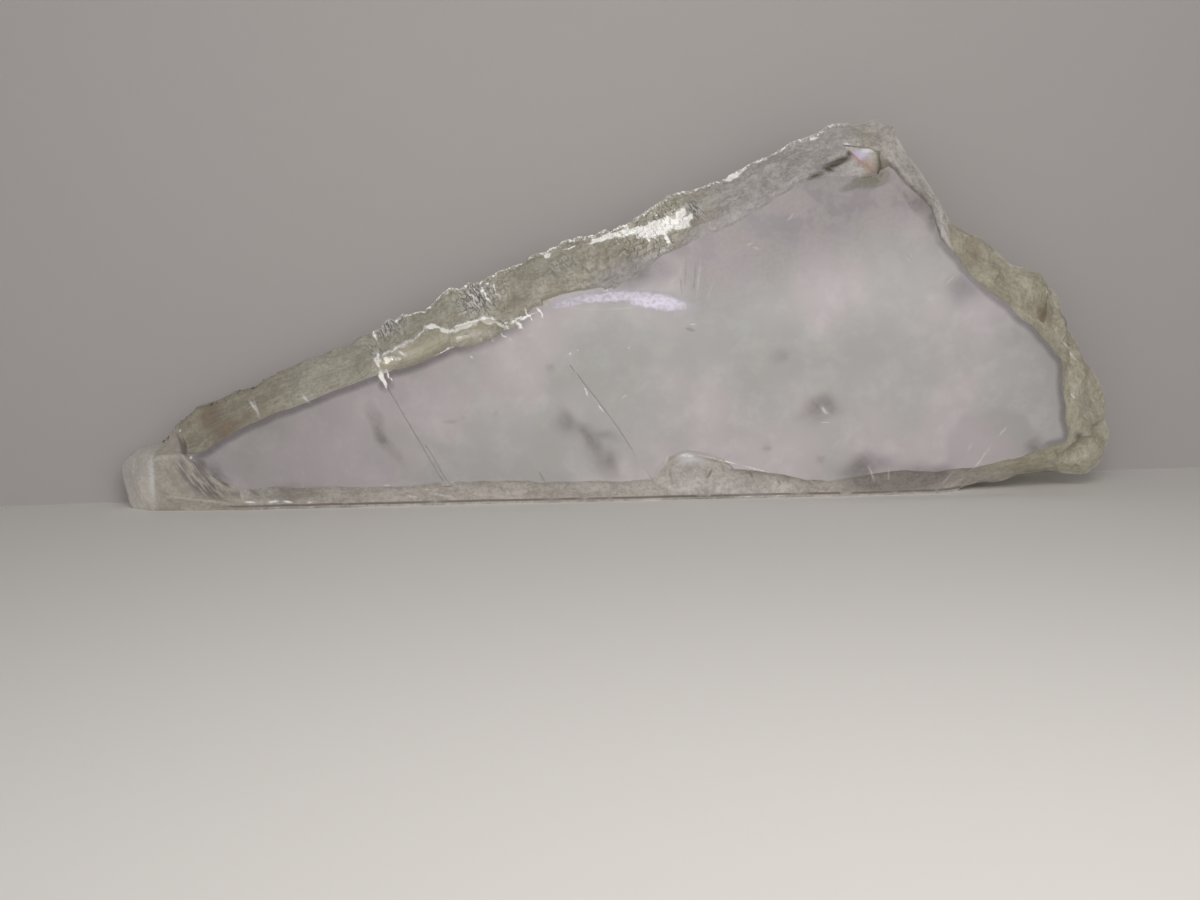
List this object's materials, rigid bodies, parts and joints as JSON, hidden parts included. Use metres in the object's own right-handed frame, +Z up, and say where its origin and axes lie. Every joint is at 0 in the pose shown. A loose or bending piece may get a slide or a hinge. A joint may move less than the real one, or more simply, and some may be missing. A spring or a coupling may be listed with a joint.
{
  "type": "selenite slab",
  "caption": "Clear selenite cleavage slab, a long irregular triangle with flat clear faces and rough, olive-tinted broken edges, standing on its long edge.",
  "frame": {"origin": "on the surface it stands on, under the middle of the slab's bounding box", "axes": "+X along the slab from its thin tip to its broad end, +Y through its thickness from the front face to the back face, +Z up"},
  "size_m": [0.1882, 0.014, 0.0693],
  "materials": {
    "selenite": "clear colourless crystal with smooth cleavage faces, IOR 1.52, and frosted olive-khaki broken edges with a few rust-brown stains"
  },
  "bodies": {
    "root": {"selenite_slab": "selenite"}
  },
  "joints": []
}
